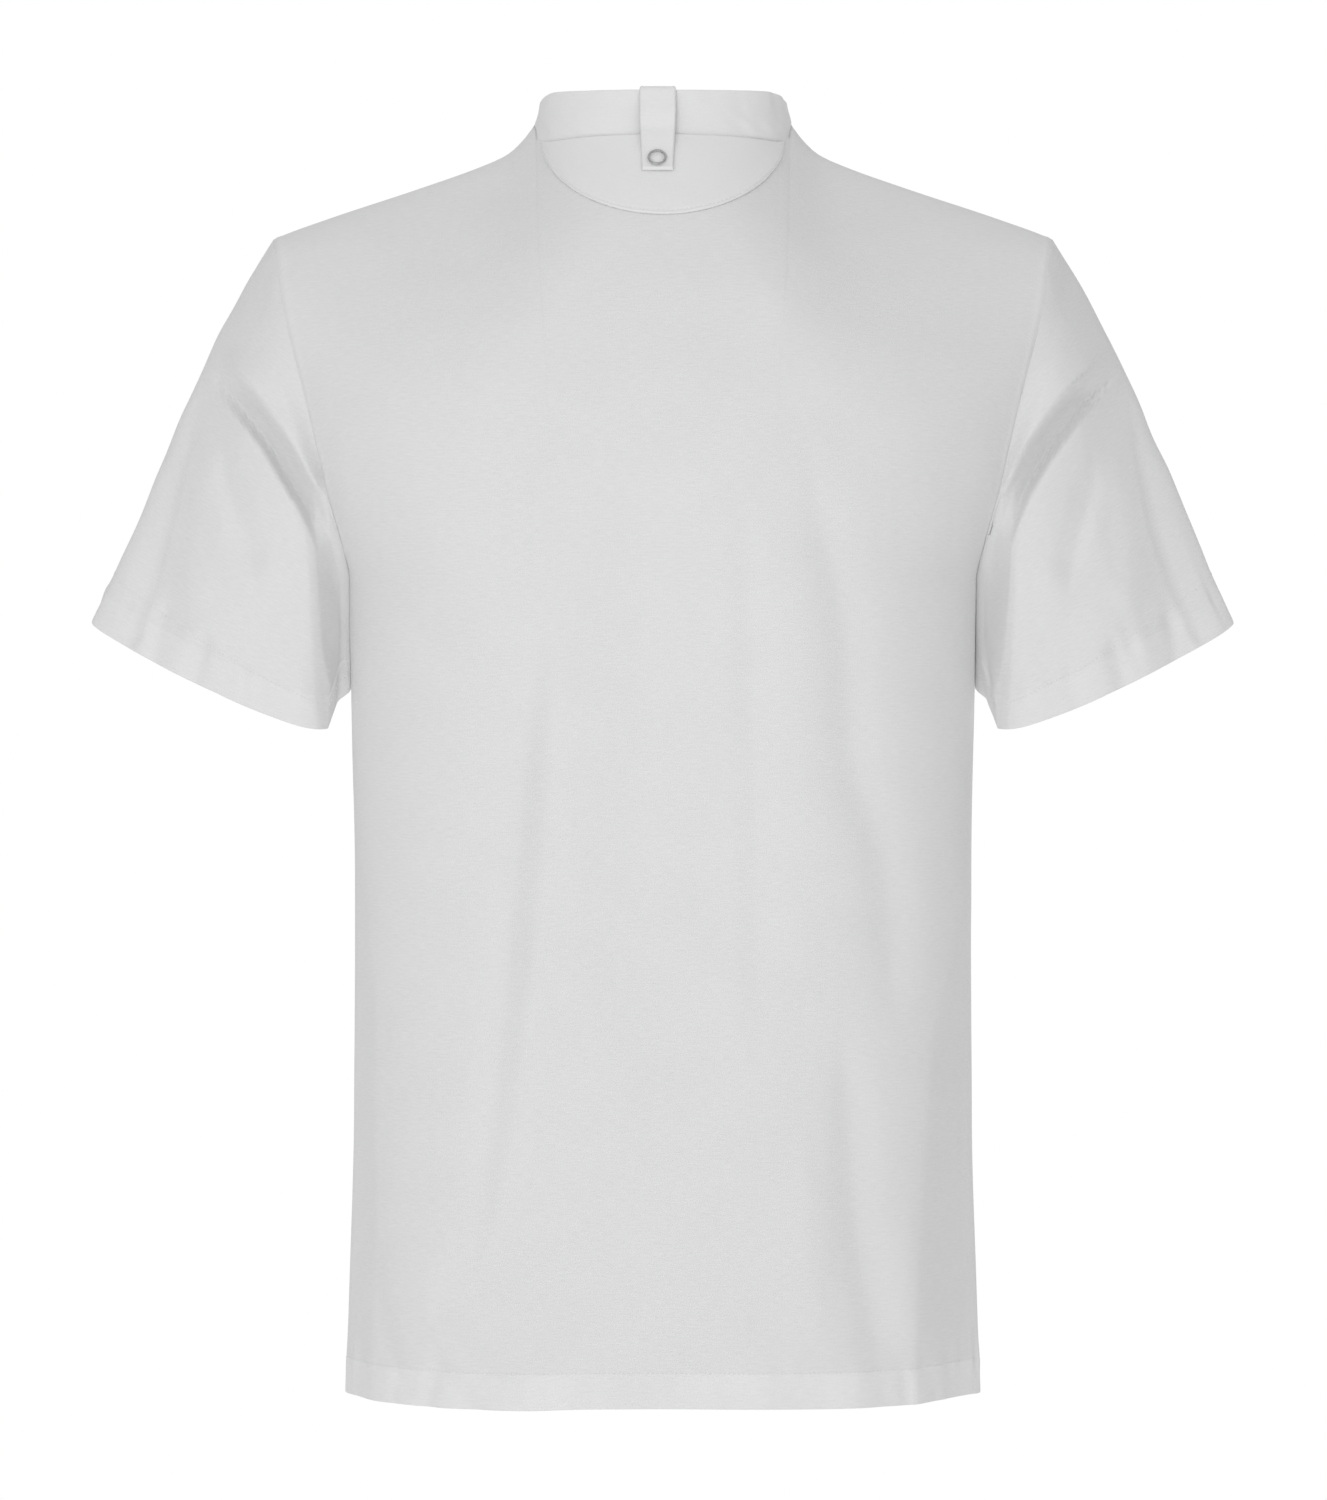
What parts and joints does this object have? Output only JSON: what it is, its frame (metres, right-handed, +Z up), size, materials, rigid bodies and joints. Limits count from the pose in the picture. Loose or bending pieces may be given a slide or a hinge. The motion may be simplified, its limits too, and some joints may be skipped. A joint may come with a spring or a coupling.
{
  "type": "chef polo shirt",
  "caption": "White pique chef polo shirt with a stand collar, a back-neck tab on a ring stud, a half-moon neck patch, short sleeves, a front placket and a straight hem.",
  "frame": {"origin": "middle of the neck, at the height where the shoulders reach the collar, where the wearer's neck and shoulders hold the shirt up", "axes": "+Z up, +Y towards the wearer's back, +X towards the wearer's left"},
  "size_m": [0.664, 0.2606, 0.7552],
  "materials": {
    "white_pique": "matt cotton pique knit",
    "white_band": "matt pique, two layers, pressed flat",
    "nickel_stud": "satin nickel"
  },
  "bodies": {
    "root": {"back_panel": "white_pique", "front_panel": "white_pique", "sleeve_left": "white_pique", "sleeve_right": "white_pique", "collar": "white_band", "neck_half_moon": "white_band", "neck_tab": "white_band", "front_placket": "white_band", "tab_stud": "nickel_stud", "placket_stud_1": "nickel_stud", "placket_stud_2": "nickel_stud", "placket_stud_3": "nickel_stud"}
  },
  "joints": []
}
